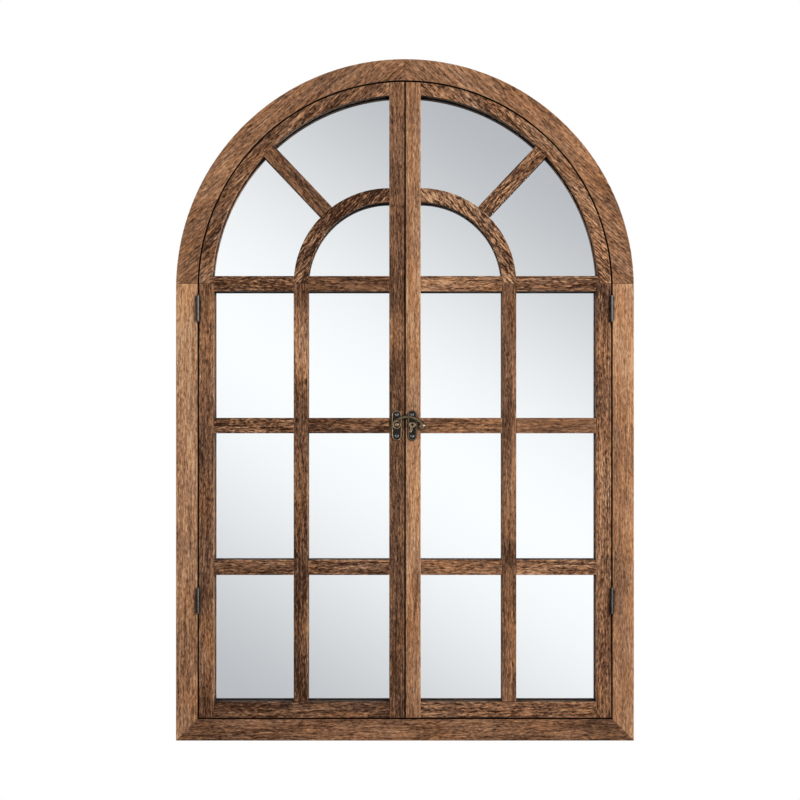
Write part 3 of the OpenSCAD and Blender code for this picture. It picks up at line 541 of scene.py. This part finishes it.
def mirror_finish():
    """Silvered glass, a touch cooler than neutral, with the faintest haze."""
    made, tree, shader = material("silvered_glass")
    space = add(tree, "TexCoord").outputs["Object"]
    haze = between(tree, noise(tree, space, (9.0, 9.0, 14.0), 3.0, 0.6), 0.45, 0.9)
    tree.links.new(maths(tree, "MULTIPLY", haze, 0.012), shader.inputs["Roughness"])
    tint = ramp(tree, haze, [(0.0, (0.955, 0.990, 1.0)), (1.0, (0.948, 0.984, 0.996))])
    tree.links.new(tint, shader.inputs["Base Color"])
    shader.inputs["Metallic"].default_value = 1.0
    return made


def board_finish():
    """Hardboard: pressed fibre, mottled brown, dull."""
    made, tree, shader = material("hardboard")
    space = add(tree, "TexCoord").outputs["Object"]
    flecks = noise(tree, space, (420.0, 420.0, 420.0), 4.0, 0.75)
    fibres = noise(tree, space, (90.0, 90.0, 600.0), 3.0, 0.65, 2.0)
    clouds = noise(tree, space, (12.0, 12.0, 9.0), 2.0)
    shade = weighted(tree, 0.5, (flecks, 1.5), (fibres, 1.1), (clouds, 0.35))
    stops = [(0.15, (0.17, 0.098, 0.052)), (0.5, (0.36, 0.225, 0.125)), (0.85, (0.56, 0.39, 0.235))]
    tree.links.new(ramp(tree, shade, stops), shader.inputs["Base Color"])
    tree.links.new(weighted(tree, 0.8, (flecks, 0.25)), shader.inputs["Roughness"])
    bump = add(tree, "Bump", {"Height": flecks, "Strength": 0.4, "Distance": 0.0003})
    tree.links.new(bump.outputs[0], shader.inputs["Normal"])
    shader.inputs["Specular IOR Level"].default_value = 0.2
    return made


def lobe(tree, direction, way, level):
    """A soft bright patch of the world round a direction."""
    facing = add(tree, "VectorMath", {0: direction, 1: Vector(way).normalized()}, operation="DOT_PRODUCT")
    inside = between(tree, facing.outputs["Value"], GLINT_RIM, GLINT_FULL)
    return maths(tree, "MULTIPLY", inside, level)


def reflected_studio(tree, direction):
    """What mirror and metal show of the world: bands fitted to the photograph, a room and patches."""
    tilt = math.radians(BAND_TILT)
    across = (math.cos(tilt) / BAND_WIDTH, 0.0, math.sin(tilt) / BAND_WIDTH)
    phase = add(tree, "VectorMath", {0: direction, 1: across}, operation="DOT_PRODUCT").outputs["Value"]
    wave = maths(tree, "COSINE", phase)
    level = maths(tree, "ADD", maths(tree, "MULTIPLY", wave, 0.5), 0.5)
    bands = ramp(tree, level, list(zip((0.0, 1.0), BAND_COLOURS)))
    along = add(tree, "SeparateXYZ", {0: direction}).outputs
    height = maths(tree, "ADD", maths(tree, "MULTIPLY", along[2], 0.5), 0.5)
    room = ramp(tree, height, ROOM_STOPS)
    in_front = between(tree, along[1], FRONT_RIM, FRONT_FULL)
    shown = add(tree, "Mix", {0: in_front, 6: room, 7: bands}, data_type="RGBA").outputs[2]
    key = lobe(tree, direction, KEY_PLACE, KEY_GLINT)
    lamps = maths(tree, "ADD", key, lobe(tree, direction, GLOW_WAY, SIDE_GLINT))
    lit = add(tree, "Background", {"Color": WHITE, "Strength": lamps}).outputs[0]
    shown = add(tree, "Background", {"Color": shown, "Strength": 1.0}).outputs[0]
    return add(tree, "AddShader", {0: shown, 1: lit}).outputs[0]


def make_world():
    """White for the camera, reflected_studio for glossy rays, and a plain soft glow as light."""
    world = bpy.data.worlds.new("studio")
    world.use_nodes = True
    bpy.context.scene.world = world
    tree = world.node_tree
    tree.nodes.clear()
    light = add(tree, "LightPath").outputs
    direction = add(tree, "TexCoord").outputs["Generated"]
    brightest = Vector(AROUND_WAY).normalized()
    facing = add(tree, "VectorMath", {0: direction, 1: brightest}, operation="DOT_PRODUCT")
    side = maths(tree, "ADD", maths(tree, "MULTIPLY", facing.outputs["Value"], 0.5), 0.5)
    soft = ramp(tree, side, [(place, (level,) * 3) for place, level in zip(AROUND_AT, AROUND_LEVELS)])
    around = add(tree, "Background", {"Color": soft, "Strength": 1.0})
    white = add(tree, "Background", {"Color": WHITE, "Strength": 1.0})
    undiffused = maths(tree, "LESS_THAN", light["Diffuse Depth"], 0.5)
    mirrored = maths(tree, "MULTIPLY", light["Is Glossy Ray"], undiffused)
    seen = maths(tree, "MAXIMUM", light["Is Camera Ray"], light["Is Transmission Ray"])
    mixed = add(tree, "MixShader", {0: mirrored, 1: around.outputs[0], 2: reflected_studio(tree, direction)})
    mixed = add(tree, "MixShader", {0: seen, 1: mixed.outputs[0], 2: white.outputs[0]})
    tree.links.new(mixed.outputs[0], add(tree, "OutputWorld").inputs["Surface"])


def make_floor():
    """A pale floor that fades into the white world towards its edge."""
    bpy.ops.mesh.primitive_circle_add(vertices=FLOOR_SIDES, radius=FLOOR_RADIUS, fill_type="NGON",
                                      location=(0.0, 0.0, foot_z - FLOOR_DROP))
    floor = bpy.context.object
    floor.name = "floor"
    made = bpy.data.materials.new("pale_floor")
    made.use_nodes = True
    tree = made.node_tree
    tree.nodes.clear()
    light = add(tree, "LightPath").outputs
    undiffused = maths(tree, "LESS_THAN", light["Diffuse Depth"], 0.5)
    seen = maths(tree, "MAXIMUM", light["Is Camera Ray"], light["Is Transmission Ray"])
    seen = maths(tree, "MAXIMUM", seen, maths(tree, "MULTIPLY", light["Is Glossy Ray"], undiffused))
    tone = ramp(tree, seen, [(place, (level,) * 3) for place, level in zip((0.0, 1.0), FLOOR_TONES)])
    paint = add(tree, "BsdfDiffuse", {"Color": tone})
    away = add(tree, "VectorMath", {0: add(tree, "TexCoord").outputs["Object"]}, operation="LENGTH")
    start, end = FLOOR_FADE
    faded = between(tree, away.outputs["Value"], start * FLOOR_RADIUS, end * FLOOR_RADIUS)
    faded = maths(tree, "ADD", maths(tree, "MULTIPLY", faded, FLOOR_GLOW_RISE), FLOOR_GLOW)
    strength = maths(tree, "MULTIPLY", seen, faded)
    glow = add(tree, "Emission", {"Color": WHITE, "Strength": strength})
    both = add(tree, "AddShader", {0: paint.outputs[0], 1: glow.outputs[0]})
    tree.links.new(both.outputs[0], add(tree, "OutputMaterial").inputs["Surface"])
    floor.data.materials.append(made)


def make_lamp(name, place, size, level):
    """A square soft lamp that lights the object's front, or back, at a level. Glossy rays miss it."""
    aim = Vector((0.0, front_y, 0.0))
    reach = Vector(place) - aim
    lamp = bpy.data.lights.new(name, "AREA")
    lamp.size = size
    facing = abs(reach.normalized().y)
    lamp.energy = level * (math.pi * reach.length) ** 2 / facing
    thing = bpy.data.objects.new(name, lamp)
    thing.location = place
    thing.rotation_euler = reach.to_track_quat("Z", "Y").to_euler()
    thing.visible_glossy = False
    bpy.context.scene.collection.objects.link(thing)


def make_camera():
    """A level camera straight in front, framed as the photograph is."""
    metres_per_px = width / WIDTH_PX
    camera = bpy.data.cameras.new("camera")
    camera.sensor_width = SENSOR_MM
    camera.lens = SENSOR_MM * CAMERA_DISTANCE / (IMAGE_PX * metres_per_px)
    camera.shift_x = (IMAGE_PX / 2 - AIM_PX[0]) / IMAGE_PX
    camera.shift_y = (AIM_PX[1] - IMAGE_PX / 2) / IMAGE_PX
    thing = bpy.data.objects.new("camera", camera)
    aim_z = foot_z + (FOOT_PX - AIM_PX[1]) * metres_per_px
    thing.location = (0.0, front_y - CAMERA_DISTANCE, aim_z)
    thing.rotation_euler = (math.radians(90), 0.0, 0.0)
    bpy.context.scene.collection.objects.link(thing)
    bpy.context.scene.camera = thing


make_camera()
make_world()
make_floor()
make_lamp("key", KEY_PLACE, KEY_SIZE, KEY_LEVEL)
make_lamp("back", BACK_PLACE, BACK_SIZE, BACK_LEVEL)
dress_wood()
dress_metal()
dress("mirror_glass", mirror_finish())
dress("back_panel", board_finish())
bpy.context.scene.view_settings.view_transform = "Standard"
